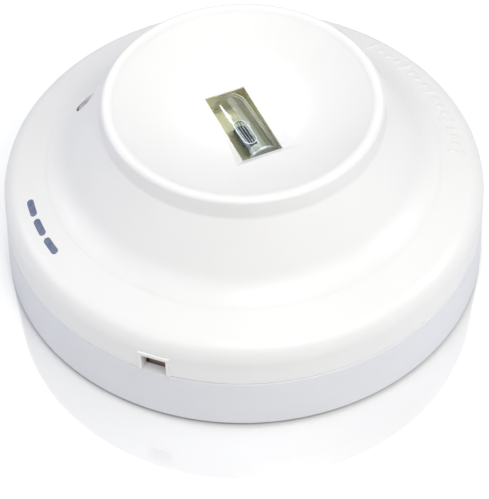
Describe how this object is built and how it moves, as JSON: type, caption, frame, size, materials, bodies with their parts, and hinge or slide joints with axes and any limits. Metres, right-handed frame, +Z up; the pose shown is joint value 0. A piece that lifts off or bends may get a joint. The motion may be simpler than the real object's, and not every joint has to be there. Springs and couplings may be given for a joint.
{
  "type": "ultraviolet flame detector",
  "caption": "Round ceiling flame detector: twist-lock base, conical head with a shallow dish, and a glass ultraviolet tube behind a rectangular window.",
  "frame": {"origin": "centre of the mounting face, the flat underside of the base", "axes": "+Z out of the mounting face towards the viewing dish; -Y is the side of the release slot, 21 degrees off it; +X to the right seen from there with +Z up"},
  "size_m": [0.103, 0.103, 0.0424],
  "materials": {
    "cover_plastic": "satin moulded ABS",
    "base_plastic": "satin moulded ABS",
    "spring_bronze": "rolled phosphor bronze",
    "plated_steel": "zinc plated",
    "circuit_board": "green solder mask",
    "clear_lens": "clear tinted resin",
    "tinned_wire": "tinned copper wire",
    "black_plastic": "moulded nylon",
    "ferrite": "sintered ferrite",
    "copper_wire": "enamelled copper wire",
    "capacitor_sleeve": "shrink sleeve",
    "chip_package": "moulded epoxy",
    "resistor_body": "lacquered ceramic",
    "film_case": "dipped film case",
    "olive_passivate": "yellow-passivated sheet steel",
    "tube_glass": "UV-transmitting glass",
    "electrode_metal": "bare metal electrode"
  },
  "bodies": {
    "base": {"base_floor": "base_plastic", "base_wall": "base_plastic", "bayonet_ledges": "base_plastic", "terminal_springs": "spring_bronze", "terminal_clamps": "plated_steel", "terminal_screws": "plated_steel"},
    "latch": {"tamper_latch": "base_plastic"},
    "head": {"cover_skirt": "cover_plastic", "cover_shoulder": "cover_plastic", "cover_flare": "cover_plastic", "cover_dish": "cover_plastic", "chassis_plate": "base_plastic", "bayonet_ring": "base_plastic", "cover_screws": "plated_steel", "head_contacts": "spring_bronze", "main_board": "circuit_board", "board_screws": "plated_steel", "indicator_led": "clear_lens", "led_leads": "tinned_wire", "led_spacer": "black_plastic", "transformer_core": "ferrite", "transformer_bobbin": "black_plastic", "transformer_winding": "copper_wire", "smoothing_capacitors": "capacitor_sleeve", "microcontroller": "chip_package", "resistors": "resistor_body", "film_capacitor": "film_case", "tube_board": "circuit_board", "board_spacers": "black_plastic", "board_link_pins": "tinned_wire", "reflector_tray": "olive_passivate", "tube_saddles": "olive_passivate", "tube_envelope": "tube_glass", "tube_stem": "tube_glass", "tube_leads": "tinned_wire", "tube_cathode": "electrode_metal", "tube_anode": "electrode_metal"}
  },
  "joints": [
    {"name": "head_twist", "type": "hinge", "parent": "base", "child": "head", "pos_m": [0, 0, 0.0072], "axis": [0, 0, 1], "range_deg": [0, 20]},
    {"name": "latch_press", "type": "hinge", "parent": "base", "child": "latch", "pos_m": [-0.01729, -0.04435, 0.0016], "axis": [-0.9317, 0.3633, 0], "range_deg": [0, 6], "stiffness_Nm_per_rad": 0.6}
  ]
}
